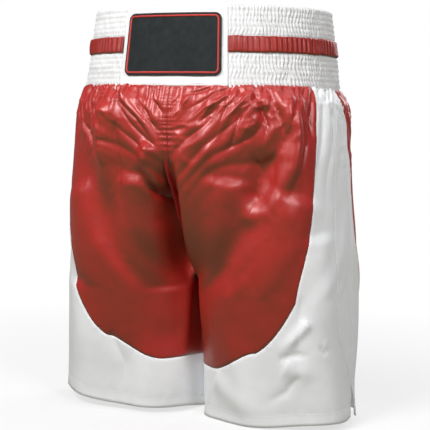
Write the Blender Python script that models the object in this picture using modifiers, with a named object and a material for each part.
"""Boxing shorts: a pair of satin boxing trunks standing in their worn, hanging shape.

Frame: metres, +Z up, origin on the floor plane of the hems, midway between the legs.
-Y is the front of the garment and +X is the wearer's left.

Every cloth panel is a grid laid on one shared garment surface and thickened with
Solidify. The surface is addressed by u, running round one half of the garment from
the front rise (0) past the side to the back rise (1), and by height z. The lower part
of each leg is a nested shell that swings on a line through the inner thigh, so it is
cut from the seat along a cylinder about that line.
"""
import math
from functools import lru_cache

import bpy
import bmesh
import numpy as np
from mathutils import Matrix, Vector

# ---------------------------------------------------------------- driving dimensions
HEIGHT = 0.545            # waist rim to hem
BAND = 0.1016             # waistband height, the standard 4 inch band
Z_SEAM = HEIGHT - BAND    # seam between waistband and body
RIM_HALF_WIDTH, RIM_HALF_DEPTH = 0.1606, 0.1190     # waistband at the rim
SEAM_HALF_WIDTH, SEAM_HALF_DEPTH = 0.1745, 0.1295   # waistband at the body seam
BAND_N = 2.2              # squareness of the waistband ring
RIM_STRAIGHT = 0.006      # height below the rim where the band stops tapering
Z_CROTCH = 0.185          # lowest point of the rise
Z_SPLIT_TOP = 0.360       # height where the two legs begin to part
Z_HINGE = 0.150           # height of the line each leg swings about
Z_LEG_SPLIT = Z_HINGE - 0.001     # row of the leg panels where the nested cap begins
SWING_FRONT = math.radians(20.0)
SWING_BACK = math.radians(12.0)
SWING_CLEAR = 0.006       # seat edge above the swept leg
CAP_OVERLAP = 0.0065      # leg cap's rise behind the seat edge

CLOTH = 0.0012            # cloth with its lining
GAP = 0.00028             # half of the gap left between neighbouring panels
LEG_GIRTH = 0.58          # nominal length of one unit of u round a leg
GAP_U = GAP / LEG_GIRTH   # the same gap as a step in u
INSEAM_GAP = 1.2          # inseam gap, in GAP_U
VENT_GAP = 3.2            # gap along the open vent, in GAP_U
VENT = 0.052              # open length of the side seam above the hem
HEM_ROW_Z = 0.006         # height of the row next to the hem

LAYER_OUT = 0.0018        # middle of the waistband's outer cloth, off the mid surface
LAYER_IN = -0.0018        # middle of the waistband's inner facing
FRONT_PANEL = 0.0730      # half width of the flat, ungathered front of the waistband
STRIPE_Z = Z_SEAM + 0.053
STRIPE_H = 0.0205
PATCH_W, PATCH_H, PATCH_R = 0.130, 0.079, 0.007
PATCH_Z = Z_SEAM + 0.0525

EYELET_X = 0.024          # distance round the band from the front centre
EYELET_INSET = 0.00135    # eyelet origin, inward of the facing
HOLE_RADIUS, HOLE_DEPTH = 0.0042, 0.012
CORD_DIA = 0.0042
CORD_DROP = 0.118
CORD_INSET = 0.0062       # hanging cord, inward of the facing
CORD_SPREAD = 0.15        # sideways drift at the cord's end over its drop
TIP_LENGTH = 0.016
TIP_BELOW = 0.0094        # tip's centre below the cord's end

BOTTOM_EDGE = 0.074       # height of the red panel's lowest edge
FRONT_EDGE_U = 0.363      # where the red front panel meets the white side panel
CURVE_TOP = 0.27          # height where the red panel's edge starts to curve
CURVE_END_U = 0.15        # u where that curve reaches the bottom edge
CURVE_N = 1.8             # squareness of the curve
CURVE_CORNER = math.radians(77)   # turn at which the curve gives way to the bottom edge
BACK_SCALE = 1.33         # the back panels are this much wider than the front ones
LABEL_W, LABEL_H = 0.038, 0.046

# body: height, half width, half depth
BODY_Z, BODY_HALF_WIDTH, BODY_HALF_DEPTH = np.array([
    (0.185, 0.2030, 0.1250),
    (0.250, 0.1995, 0.1290),
    (0.310, 0.1960, 0.1330),
    (0.360, 0.1930, 0.1375),
    (0.400, 0.1895, 0.1400),
    (0.425, 0.1860, 0.1390),
    (Z_SEAM, 0.1760, 0.1310),
]).T
BODY_N = 2.3

# one leg: height, centre x, half width, half depth, centre y, inner squareness
# (constant below the first row, so the hem's edge is flat)
LEG_Z, LEG_X, LEG_HALF_WIDTH, LEG_HALF_DEPTH, LEG_Y, LEG_N_IN = np.array([
    (0.007, 0.1105, 0.1045, 0.084, 0.006, 2.35),
    (0.050, 0.1095, 0.1030, 0.090, 0.006, 2.7),
    (0.100, 0.1080, 0.1020, 0.097, 0.005, 3.1),
    (0.150, 0.1065, 0.1012, 0.104, 0.004, 3.6),
    (0.200, 0.1050, 0.1005, 0.111, 0.003, 3.8),
    (0.250, 0.1030, 0.1000, 0.117, 0.002, 3.7),
    (0.300, 0.1010, 0.0990, 0.123, 0.001, 3.4),
    (0.360, 0.0990, 0.0980, 0.129, 0.000, 3.0),
]).T
LEG_N_OUT = 2.35

# base colour, roughness, metallic
MATERIALS = {
    "white_satin": ((0.84, 0.84, 0.85), 0.34, 0.0),
    "red_satin": ((0.46, 0.022, 0.017), 0.30, 0.0),
    "shirred_white": ((0.88, 0.88, 0.89), 0.55, 0.0),
    "facing_white": ((0.80, 0.80, 0.81), 0.70, 0.0),
    "ribbon_red": ((0.44, 0.026, 0.020), 0.36, 0.0),
    "elastic_white": ((0.74, 0.73, 0.70), 0.80, 0.0),
    "seam_red": ((0.36, 0.018, 0.014), 0.50, 0.0),
    "seam_white": ((0.78, 0.78, 0.79), 0.55, 0.0),
    "cord_white": ((0.82, 0.82, 0.80), 0.75, 0.0),
    "cord_tip": ((0.80, 0.80, 0.79), 0.35, 0.0),
    "eyelet_metal": ((0.62, 0.62, 0.60), 0.30, 1.0),
    "patch_black": ((0.012, 0.012, 0.012), 0.70, 0.0),
    "patch_field": ((0.030, 0.036, 0.036), 0.80, 0.0),
    "outline_red": ((0.55, 0.075, 0.065), 0.45, 0.0),
    "label_white": ((0.86, 0.86, 0.85), 0.60, 0.0),
}
SIDES = ((1, "left"), (-1, "right"))      # sign of x, wearer's side

# ---------------------------------------------------------------- scene
for old in list(bpy.data.objects):
    bpy.data.objects.remove(old, do_unlink=True)
parts = bpy.data.collections.new("boxing_shorts")
cutters = bpy.data.collections.new("cutters")
bpy.context.scene.collection.children.link(parts)
bpy.context.scene.collection.children.link(cutters)


def material(name):
    mat = bpy.data.materials.get(name)
    if mat is None:
        mat = bpy.data.materials.new(name)
        mat.use_nodes = True
        colour, roughness, metallic = MATERIALS[name]
        bsdf = mat.node_tree.nodes["Principled BSDF"]
        bsdf.inputs["Base Color"].default_value = (*colour, 1.0)
        bsdf.inputs["Roughness"].default_value = roughness
        bsdf.inputs["Metallic"].default_value = metallic
        mat.diffuse_color = (*colour, 1.0)
    return mat


def empty(name, location):
    obj = bpy.data.objects.new(name, None)
    obj.location = location
    obj.empty_display_size = 0.03
    parts.objects.link(obj)
    return obj


def move_to(obj, collection):
    for current in list(obj.users_collection):
        current.objects.unlink(obj)
    collection.objects.link(obj)


def add_part(obj, mat, parent=None):
    """File obj with the parts, give it its material and hang it on parent where it stands."""
    move_to(obj, parts)
    obj.data.materials.append(material(mat))
    if parent is not None:
        obj.parent = parent
        obj.matrix_parent_inverse = Matrix.Translation(-Vector(parent.location))


def cylinder(name, vertices, radius, depth):
    bpy.ops.mesh.primitive_cylinder_add(vertices=vertices, radius=radius, depth=depth)
    obj = bpy.context.object
    obj.name = name
    return obj


def sheet(name, cols, rows, place, mat, thick=CLOTH, parent=None, closed=False):
    """A grid of cols by rows faces with corners at place(i, j), thickened with Solidify."""
    bm = bmesh.new()
    bmesh.ops.create_grid(bm, x_segments=cols, y_segments=rows, size=0.5)
    for vert in bm.verts:
        i = round((vert.co.x + 0.5) * cols)
        j = round((vert.co.y + 0.5) * rows)
        vert.co = Vector(place(i, j))
    if closed:
        bmesh.ops.remove_doubles(bm, verts=bm.verts, dist=1e-6)
    bmesh.ops.recalc_face_normals(bm, faces=bm.faces)
    mesh = bpy.data.meshes.new(name)
    bm.to_mesh(mesh)
    bm.free()
    mesh.shade_smooth()
    obj = bpy.data.objects.new(name, mesh)
    add_part(obj, mat, parent)
    solid = obj.modifiers.new("thickness", "SOLIDIFY")
    solid.thickness = thick
    solid.offset = 0.0
    solid.use_even_offset = True
    solid.use_quality_normals = True
    solid.use_rim = True
    return obj


def to_side(point, sign):
    """Point of the wearer's left half, mirrored to the right half when sign is -1."""
    return (point[0] * sign, point[1], point[2])


# ---------------------------------------------------------------- garment surface
def signed_power(value, power):
    return np.sign(value) * np.abs(value) ** power


def ease(value, low, high):
    """Smooth step from 0 at low to 1 at high."""
    t = np.clip((value - low) / (high - low), 0.0, 1.0)
    return t * t * (3.0 - 2.0 * t)


def ease_down(value, high, low):
    """Smooth step from 0 at high to 1 at low."""
    return ease(-value, -high, -low)


def ring(angle, half_width, half_depth, squareness):
    """x, y on a superellipse, angle measured from the front centre towards +X."""
    return (half_width * signed_power(np.sin(angle), 2 / squareness),
            -half_depth * signed_power(np.cos(angle), 2 / squareness))


def body_ring(u, z):
    return ring(math.pi * u, np.interp(z, BODY_Z, BODY_HALF_WIDTH),
                np.interp(z, BODY_Z, BODY_HALF_DEPTH), BODY_N)


def leg_at(z, column):
    return np.interp(z, LEG_Z, column)


def leg_ring(u, z):
    """x, y on the left leg, u measured from its inner side round the front."""
    angle = 2 * math.pi * u
    cos = np.cos(angle)
    power = 2 / np.where(cos > 0, leg_at(z, LEG_N_IN), LEG_N_OUT)
    return (leg_at(z, LEG_X) - leg_at(z, LEG_HALF_WIDTH) * signed_power(cos, power),
            leg_at(z, LEG_Y) - leg_at(z, LEG_HALF_DEPTH) * signed_power(np.sin(angle), power))


V_PART = (Z_SEAM - Z_SPLIT_TOP) / Z_SEAM
V_CROTCH = 0.62
V_TABLE = np.linspace(0.0, 1.0, 801)


def height_and_mix(u, v):
    """Height and body-to-leg mix at u and v (0 seam, 1 hem)."""
    at_rise = (0.5 + 0.5 * np.cos(2 * math.pi * u)) ** 2
    z_side = Z_SEAM * (1 - v)
    turn = np.clip((v - V_PART) / (V_CROTCH - V_PART), 0, 1) * math.pi / 2
    z_parting = Z_SPLIT_TOP - (Z_SPLIT_TOP - Z_CROTCH) * np.sin(turn)
    z_inseam = Z_CROTCH * (1 - (v - V_CROTCH) / (1 - V_CROTCH))
    z_rise = np.where(v < V_PART, z_side, np.where(v < V_CROTCH, z_parting, z_inseam))
    mix_rise = np.where(v < V_PART, 0.0, np.where(v < V_CROTCH, 1 - np.cos(turn), 1.0))
    mix_side = ease_down(z_side, 0.42, 0.15)
    return (z_side + (z_rise - z_side) * at_rise,
            mix_side + (mix_rise - mix_side) * at_rise)


def cloth(u, z):
    """Point of the wearer's left half of the garment at u and height z."""
    heights, mixes = height_and_mix(u, V_TABLE)
    v = np.interp(-z, -heights, V_TABLE)
    mix = float(np.interp(v, V_TABLE, mixes))
    body_x, body_y = body_ring(u, z)
    leg_x, leg_y = leg_ring(u, z)
    # the two halves meet on the centre line all along the rise, and part below the crotch
    near_rise = math.exp(-(min(u, 1 - u) / 0.035) ** 2)
    near_rise *= float(1 - ease(v, V_CROTCH, V_CROTCH + 0.07))
    inner_x = float(leg_at(z, LEG_X) - leg_at(z, LEG_HALF_WIDTH))
    return (float((1 - mix) * body_x + mix * (leg_x - inner_x * near_rise)),
            float((1 - mix) * body_y + mix * leg_y), float(z))


# seam lines, as u for a height
def front_rise_u(_z):
    return 0.0


def back_rise_u(_z):
    return 1.0


def side_u(z):
    return float(0.442 + (0.498 - 0.442) * ease_down(z, 0.135, 0.020))


def front_u(z):
    if z >= CURVE_TOP:
        return float(FRONT_EDGE_U + 0.015 * ease(z, 0.395, Z_SEAM))
    drop = min((CURVE_TOP - z) / (CURVE_TOP - BOTTOM_EDGE), 1.0)
    across = (1 - drop ** CURVE_N) ** (1 / CURVE_N)
    return float(CURVE_END_U + (FRONT_EDGE_U - CURVE_END_U) * across)


def back_u(z):
    return 1.0 - BACK_SCALE * front_u(z)


# ---------------------------------------------------------------- waistband surface
RING_ANGLES = np.linspace(0.0, 2 * math.pi, 2881)
RING_X, RING_Y = ring(RING_ANGLES, (RIM_HALF_WIDTH + SEAM_HALF_WIDTH) / 2,
                      (RIM_HALF_DEPTH + SEAM_HALF_DEPTH) / 2, BAND_N)
RING_ARC = np.concatenate([[0.0], np.cumsum(np.hypot(np.diff(RING_X), np.diff(RING_Y)))])
RING_LEN = float(RING_ARC[-1])


def band(arc, z, off):
    """Point on the waistband, arc metres from the front centre towards +X, off the mid surface."""
    angle = np.interp(arc % RING_LEN, RING_ARC, RING_ANGLES)
    t = min((z - Z_SEAM) / BAND, 1.0 - RIM_STRAIGHT / BAND)
    half_width = SEAM_HALF_WIDTH + (RIM_HALF_WIDTH - SEAM_HALF_WIDTH) * t + off
    half_depth = SEAM_HALF_DEPTH + (RIM_HALF_DEPTH - SEAM_HALF_DEPTH) * t + off
    x, y = ring(angle, half_width, half_depth, BAND_N)
    return (float(x), float(y), float(z))


def band_strip(name, start, end, cols, levels, mat, thick=CLOTH, closed=False):
    """A strip along the waistband: levels is a list of (height, off)."""
    def place(i, j):
        z, off = levels[j]
        return band(start + (end - start) * i / cols, z, off)
    return sheet(name, cols, len(levels) - 1, place, mat, thick, closed=closed)


def gathered_strip(name, trim, cols, levels, mat, thick=CLOTH):
    """A strip round the gathered part of the band, trimmed at both ends."""
    start = FRONT_PANEL + 0.0003 + trim
    band_strip(name, start, RING_LEN - start, cols, levels, mat, thick)


def waistband():
    """Outer cloth, elastics, stripe and cord; returns the facing, which takes the holes."""
    rim_z = HEIGHT - CLOTH / 2
    # the outer cloth folds inward over the rim
    outer = [(Z_SEAM, LAYER_OUT), (Z_SEAM + 0.034, LAYER_OUT), (Z_SEAM + 0.068, LAYER_OUT),
             (HEIGHT - 0.006, LAYER_OUT), (rim_z, LAYER_OUT), (rim_z, LAYER_IN)]
    gathered_strip("waistband_casing", 0.0, 44, outer, "shirred_white")
    band_strip("waistband_front_panel", -FRONT_PANEL, FRONT_PANEL, 8, outer, "shirred_white")
    facing_levels = [(Z_SEAM + 0.001, LAYER_IN), (HEIGHT - 0.0065, LAYER_IN),
                     (HEIGHT - 0.0026, LAYER_IN)]
    facing = band_strip("waistband_facing", 0, RING_LEN, 52, facing_levels,
                        "facing_white", closed=True)
    for word, low, high in (("upper", Z_SEAM + 0.066, HEIGHT - 0.0065),
                            ("lower", Z_SEAM + 0.004, Z_SEAM + 0.041)):
        gathered_strip("waistband_elastic_" + word, 0.004, 40, [(low, 0.0), (high, 0.0)],
                       "elastic_white", thick=0.0011)
    # the stripe bulges slightly along its middle
    stripe = [(STRIPE_Z - STRIPE_H / 2, 0.0034), (STRIPE_Z, 0.0038),
              (STRIPE_Z + STRIPE_H / 2, 0.0034)]
    gathered_strip("waistband_stripe", 0.0005, 44, stripe, "ribbon_red", thick=0.0010)
    cord_start = EYELET_X + 0.008
    band_strip("drawcord_in_channel", cord_start, RING_LEN - cord_start, 48,
               [(STRIPE_Z - 0.0045, 0.0), (STRIPE_Z + 0.0045, 0.0)], "cord_white", thick=0.0014)
    return facing


# ---------------------------------------------------------------- front patch
def patch_size(narrower, tighter):
    """Width, height and corner radius of the patch, reduced."""
    return PATCH_W - narrower, PATCH_H - narrower, PATCH_R - tighter


def patch_plate(name, size, off, mat, thick):
    """A rounded rectangle, filled by rows that shorten round the corners."""
    width, height, radius = size
    straight = height / 2 - radius
    corner = [straight + radius * math.sin(math.pi / 2 * k / 3) for k in range(4)]
    levels = [-z for z in reversed(corner)] + [-straight / 3, straight / 3] + corner
    cols = 10

    def place(i, j):
        z = levels[j]
        over = max(0.0, abs(z) - straight)
        half = width / 2 - radius + math.sqrt(max(0.0, radius ** 2 - over ** 2))
        return band((2 * i / cols - 1) * half, PATCH_Z + z, off)

    sheet(name, cols, len(levels) - 1, place, mat, thick)


def outline_loop(size):
    """Points round a rounded rectangle, its long edges cut in eight to follow the band."""
    width, height, radius = size
    loop = []
    for sign_x, sign_z, start in ((1, 1, 0), (-1, 1, 90), (-1, -1, 180), (1, -1, 270)):
        corner_x = sign_x * (width / 2 - radius)
        corner_z = sign_z * (height / 2 - radius)
        for k in range(5):
            angle = math.radians(start + 22.5 * k)
            loop.append((corner_x + radius * math.cos(angle),
                         corner_z + radius * math.sin(angle)))
        if sign_x == sign_z:      # a long edge follows, top or bottom
            loop += [(corner_x - 2 * corner_x * k / 8, sign_z * height / 2) for k in range(1, 8)]
    return loop


def patch_outline(off, thick):
    loops = (outline_loop(patch_size(0.0092, 0.0036)), outline_loop(patch_size(0.0050, 0.0015)))
    count = len(loops[0])

    def place(i, j):
        arc, z = loops[j][i % count]
        return band(arc, PATCH_Z + z, off)

    sheet("patch_outline", count, 1, place, "outline_red", thick, closed=True)


def patch():
    patch_plate("patch_backing", patch_size(0.0, 0.0), off=0.0034, mat="patch_black", thick=0.0012)
    patch_outline(off=0.0050, thick=0.0014)
    patch_plate("patch_field", patch_size(0.0098, 0.0040), off=0.0047, mat="patch_field",
                thick=0.0008)


# ---------------------------------------------------------------- drawcord eyelets and ends
# lean and turn of the waistband at the eyelets
LEAN = math.atan2(SEAM_HALF_DEPTH - RIM_HALF_DEPTH, BAND)
YAW = math.atan2(SEAM_HALF_DEPTH * (EYELET_X / SEAM_HALF_WIDTH) ** (BAND_N - 1), SEAM_HALF_WIDTH)

# eyelet section: radius, height along its axis
EYELET_PROFILE = [
    (0.0047, 0.0004), (0.0047, -0.0006), (0.0042, -0.0010), (0.0030, -0.0010),
    (0.0030, 0.0024), (0.0036, 0.0024), (0.0036, 0.0004),
]
# hanging cord: drop below the eyelet, shift towards +Y
CORD_PATH = [(0.0, 0.0), (0.016, 0.0004), (0.04, 0.0012), (0.07, 0.0022), (0.10, 0.0030),
             (CORD_DROP, 0.0034)]


def set_at_eyelet(obj, side, inset):
    """Lay obj's axis square to the facing at one eyelet, moved inward by inset."""
    x, y, z = band(side * EYELET_X, STRIPE_Z, LAYER_IN)
    obj.location = (x, y + inset, z)
    obj.rotation_euler = (math.pi / 2 - LEAN, 0.0, side * YAW)


def drill(target, side, word):
    """Cut the eyelet hole through the facing."""
    cutter = cylinder("facing_hole_" + word, 16, HOLE_RADIUS, HOLE_DEPTH)
    set_at_eyelet(cutter, side, 0.0)
    move_to(cutter, cutters)
    cutter.hide_render = True
    cutter.display_type = "WIRE"
    hole = target.modifiers.new("hole", "BOOLEAN")
    hole.operation = "DIFFERENCE"
    hole.object = cutter


def eyelet(side, word):
    """A two-flange eyelet turned about its own axis, set through the facing."""
    name = "drawcord_eyelet_" + word
    count = len(EYELET_PROFILE)
    mesh = bpy.data.meshes.new(name)
    mesh.from_pydata([(radius, 0.0, z) for radius, z in EYELET_PROFILE],
                     [(k, (k + 1) % count) for k in range(count)], [])
    obj = bpy.data.objects.new(name, mesh)
    add_part(obj, "eyelet_metal")
    screw = obj.modifiers.new("turn", "SCREW")
    screw.axis = "Z"
    screw.steps = screw.render_steps = 16
    screw.use_merge_vertices = True
    screw.merge_threshold = 0.00001
    screw.use_normal_calculate = True
    set_at_eyelet(obj, side, EYELET_INSET)


def hanging_cord(side, word):
    """One end of the drawcord and its tip, hanging inside the front of the waistband."""
    x, y, z = band(side * EYELET_X, STRIPE_Z, LAYER_IN)
    y += CORD_INSET
    pivot = empty("drawcord_" + word + "_slide", (x, y, z))
    curve = bpy.data.curves.new("drawcord_end_" + word, "CURVE")
    curve.dimensions = "3D"
    curve.bevel_depth = CORD_DIA / 2
    curve.bevel_resolution = 2
    curve.use_fill_caps = True
    spline = curve.splines.new("POLY")
    spline.points.add(len(CORD_PATH) - 1)
    for point, (drop, shift) in zip(spline.points, CORD_PATH):
        drift = side * CORD_SPREAD * drop * drop / CORD_DROP
        point.co = (x + drift, y + shift, z - drop, 1.0)
    add_part(bpy.data.objects.new("drawcord_end_" + word, curve), "cord_white", pivot)

    tip = cylinder("drawcord_tip_" + word, 14, CORD_DIA / 2 + 0.0003, TIP_LENGTH)
    tip.location = (x + side * CORD_SPREAD * CORD_DROP, y + CORD_PATH[-1][1],
                    z - CORD_DROP - TIP_BELOW)
    add_part(tip, "cord_tip", pivot)
    bevel = tip.modifiers.new("edge", "BEVEL")
    bevel.width = 0.0006
    bevel.segments = 1


# ---------------------------------------------------------------- seat panels and rise seams
# rows of a seat panel, as a fraction of the way from the waist seam to the lower edge
SEAT_ROWS = [0.0, 0.04, 0.11, 0.24, 0.40, 0.56, 0.70, 0.82, 0.92, 1.0]


def seat_edge(u):
    """Lowest height of the seat's cloth at u: clear of the leg over its whole swing."""
    y = cloth(u, Z_HINGE + 0.012)[1]
    half_swing = SWING_FRONT / 2 if y < 0 else SWING_BACK / 2
    return Z_HINGE + abs(y) * math.tan(half_swing) + SWING_CLEAR


@lru_cache(maxsize=None)
def seam_u(line, row):
    """u of a seam line at one seat row."""
    z_low = Z_HINGE + 0.02
    for _ in range(12):       # settle on the height where the line meets the lower edge
        z_low = seat_edge(line(z_low))
    return line(Z_SEAM + (z_low - Z_SEAM) * SEAT_ROWS[row])


def seat_panel(name, line_a, line_b, cols, mat, sign):
    """A panel of the seat between two seam lines, from the waist seam to the lower edge."""
    rows = len(SEAT_ROWS) - 1
    z_top = Z_SEAM - 0.0004

    def u_across(row, f):
        return seam_u(line_a, row) + (seam_u(line_b, row) - seam_u(line_a, row)) * f

    def place(i, j):
        f = i / cols
        u = u_across(j, f)
        z = z_top + (seat_edge(u_across(rows, f)) - z_top) * SEAT_ROWS[j]
        point = Vector(cloth(u, z))
        if i in (0, cols):    # draw back from the seam by the gap
            inside = Vector(cloth(u + (0.004 if i == 0 else -0.004), z))
            point += (inside - point).normalized() * GAP
        point.x = max(point.x, CLOTH / 2 + 0.0004)
        return to_side(point, sign)

    sheet(name, cols, rows, place, mat)


def seat(sign, word):
    for name, line_a, line_b, cols, mat in (
            ("front_panel_seat_", front_rise_u, front_u, 9, "red_satin"),
            ("side_panel_front_seat_", front_u, side_u, 3, "white_satin"),
            ("side_panel_back_seat_", side_u, back_u, 4, "white_satin"),
            ("back_panel_seat_", back_u, back_rise_u, 11, "red_satin")):
        seat_panel(name + word, line_a, line_b, cols, mat, sign)


def rise_seam(name, u, inward):
    """The folded allowance sewn flat behind a centre seam; inward is the sign of y indoors."""
    heights, _ = height_and_mix(u, V_TABLE)
    stations = np.linspace(0.010, V_CROTCH - 0.135, 11)
    half_width = 0.0052
    behind = 0.0026

    def centre(v):
        return Vector(cloth(u, float(np.interp(v, V_TABLE, heights))))

    def place(i, j):
        v = stations[j]
        middle = centre(v)
        run = centre(v + 0.01) - centre(v - 0.01)
        run.x = 0.0
        run.normalize()
        normal = Vector((0, -run.z, run.y))
        if normal.y * inward + normal.z < 0:
            normal = -normal
        return Vector(((i - 1) * half_width, middle.y, middle.z)) + normal * behind

    sheet(name, 2, len(stations) - 1, place, "seam_red", 0.0010)


# ---------------------------------------------------------------- swinging legs
CAP_ROWS = 2
EDGE_STEPS = 14               # steps along the red panel's curved edge, down and round
CORNER_STEP = EDGE_STEPS // 2
HEM_STEP = 5                  # step at which the white panel's outside reaches the hem
WHITE_STEPS = [0.0, 0.33, 0.66, 0.92, 1.0]    # columns, from the red edge to the outside


def leg_point(u, z):
    """Leg cloth at u; above the hinge line it closes in on a cylinder about that line."""
    x, y, _ = cloth(u, min(z, Z_HINGE))
    nest = float(ease(z, Z_HINGE - 0.020, Z_HINGE))
    from_centre = x - float(leg_at(z, LEG_X))
    x -= nest * 0.0030 * math.copysign(min(1.0, abs(from_centre) / 0.06), from_centre)
    y -= nest * 0.0024 * math.copysign(min(1.0, abs(y) / 0.03), y)
    if z > Z_HINGE:
        rise = z - Z_HINGE
        y = math.copysign(math.sqrt(max(y * y - rise * rise, (0.88 * y) ** 2)), y)
    return Vector((x, y, z))


def cap_z(u, fraction):
    """Height in the nested cap, from the split (0) to behind the seat (1)."""
    return Z_LEG_SPLIT + (seat_edge(u) + CAP_OVERLAP - Z_LEG_SPLIT) * fraction


def red_edge(back):
    """(u, z) points of the red panel's edge, from the split down and round to the inseam."""
    def curve_point(turn):
        return (CURVE_END_U + (FRONT_EDGE_U - CURVE_END_U) * math.cos(turn) ** (2 / CURVE_N),
                CURVE_TOP - (CURVE_TOP - BOTTOM_EDGE) * math.sin(turn) ** (2 / CURVE_N))

    drop = (CURVE_TOP - Z_LEG_SPLIT) / (CURVE_TOP - BOTTOM_EDGE)
    first_turn = math.asin(min(1.0, drop ** (CURVE_N / 2)))
    corner_u, corner_z = curve_point(CURVE_CORNER)
    points = []
    for k in range(EDGE_STEPS + 1):
        f = k / CORNER_STEP
        if k <= CORNER_STEP:
            u, z = curve_point(first_turn + (CURVE_CORNER - first_turn) * f)
        else:
            u = corner_u * (2 - f)
            low = BOTTOM_EDGE + 0.004 * ease_down(u, 0.15, 0.0)
            z = low + (corner_z - low) * (2 - f) ** 2
        points.append(np.array((1.0 - BACK_SCALE * u if back else u, z)))
    return points


def red_leg_panel(name, edge, u_inseam, toward_side, sign, pivot):
    """Columns run from the inseam to the curved edge, rows from the bottom up into the cap."""
    cols = rows = CORNER_STEP
    top_inseam = np.array((u_inseam, Z_LEG_SPLIT))

    def place(i, j):
        f, g = i / cols, min(j, rows) / rows
        right = edge[CORNER_STEP - min(j, rows)]
        bottom = edge[EDGE_STEPS - i]
        # Coons patch, shortened because the inseam and top sides are straight
        u, z = (f * right + (1 - g) * bottom + (1 - f) * g * top_inseam
                - f * (1 - g) * edge[CORNER_STEP])
        if j == 0:
            z += GAP
        if i == cols:
            u -= toward_side * GAP_U * (1.0 if j > 0 else 0.6)
        if i == 0:
            u += toward_side * GAP_U * INSEAM_GAP
        if j > rows:
            z = cap_z(u, (j - rows) / CAP_ROWS)
        return to_side(leg_point(u, z), sign)

    sheet(name, cols, rows + CAP_ROWS, place, "red_satin", parent=pivot)


def white_leg_panel(name, edge, u_inseam, toward_side, sign, pivot):
    """Columns run from the red edge out; rows run down the cap, then along the edge."""
    cols = len(WHITE_STEPS) - 1

    def outside(k):
        """Down the side seam, then along the hem to the inseam."""
        if k <= HEM_STEP:
            z = Z_LEG_SPLIT * (1 - k / HEM_STEP)
            return side_u(z), z
        u_side = side_u(0.0)
        return u_side + (u_inseam - u_side) * (k - HEM_STEP) / (EDGE_STEPS - HEM_STEP), 0.0

    def place(i, j):
        k = max(0, j - CAP_ROWS)
        out = outside(k)
        u, z = edge[k] + (np.array(out) - edge[k]) * WHITE_STEPS[i]
        if k >= HEM_STEP and i >= cols - 1:
            u = out[0]        # straight down to the hem, so its edge is flat
            z = HEM_ROW_Z if i < cols else 0.0
        if i == 0 and k <= CORNER_STEP:
            u += toward_side * GAP_U
        if i == 0 and k >= CORNER_STEP:
            z -= GAP
        if (i == cols and k < HEM_STEP) or (i >= cols - 1 and k == HEM_STEP):
            u -= toward_side * GAP_U * (1.0 if z > VENT else VENT_GAP)
        if k == EDGE_STEPS:
            u += toward_side * GAP_U * INSEAM_GAP
        if j < CAP_ROWS:
            z = cap_z(u, (CAP_ROWS - j) / CAP_ROWS)
        return to_side(leg_point(u, z), sign)

    sheet(name, cols, EDGE_STEPS + CAP_ROWS, place, "white_satin", parent=pivot)


def inseam(sign, word, pivot):
    """The folded allowance sewn flat behind the inner leg seam."""
    levels = [0.004, 0.030, 0.060, 0.090, 0.110, Z_HINGE - 0.026]
    columns = (0.0092, 0.0, 1 - 0.0092)

    def place(i, j):
        x, y, z = cloth(columns[i], levels[j])
        return to_side((x + 0.0024, y, z), sign)

    sheet("inseam_" + word, 2, len(levels) - 1, place, "seam_white", 0.0010, parent=pivot)


def swinging_leg(sign, word):
    pivot = empty("leg_" + word + "_swing", (0.0, 0.0, Z_HINGE))
    # u at the inseam, and the direction of u from the inseam towards the side
    for face, u_inseam, toward_side in (("front", 0.0, 1.0), ("back", 1.0, -1.0)):
        shared = (red_edge(face == "back"), u_inseam, toward_side, sign, pivot)
        red_leg_panel(face + "_panel_leg_" + word, *shared)
        white_leg_panel("side_panel_" + face + "_leg_" + word, *shared)
    inseam(sign, word, pivot)


# ---------------------------------------------------------------- care label
def care_label():
    """A label hanging from the back waist seam, inside the garment."""
    top_y, top_z = SEAM_HALF_DEPTH - 0.0052, Z_SEAM - 0.0005
    pivot = empty("care_label_swing", (0.0, top_y, top_z))

    def place(i, j):
        return ((i / 4 - 0.5) * LABEL_W, top_y + 0.0006 * math.sin(math.pi * j / 4),
                top_z - LABEL_H * j / 4)

    sheet("care_label", 4, 4, place, "label_white", 0.0005, parent=pivot)


# ---------------------------------------------------------------- build
facing = waistband()
patch()
for side, word in SIDES:
    drill(facing, side, word)
    eyelet(side, word)
    hanging_cord(side, word)
for side, word in SIDES:
    seat(side, word)
rise_seam("front_rise_seam", u=0.0, inward=1.0)
rise_seam("back_rise_seam", u=1.0, inward=-1.0)
for side, word in SIDES:
    swinging_leg(side, word)
care_label()

bpy.context.view_layer.update()
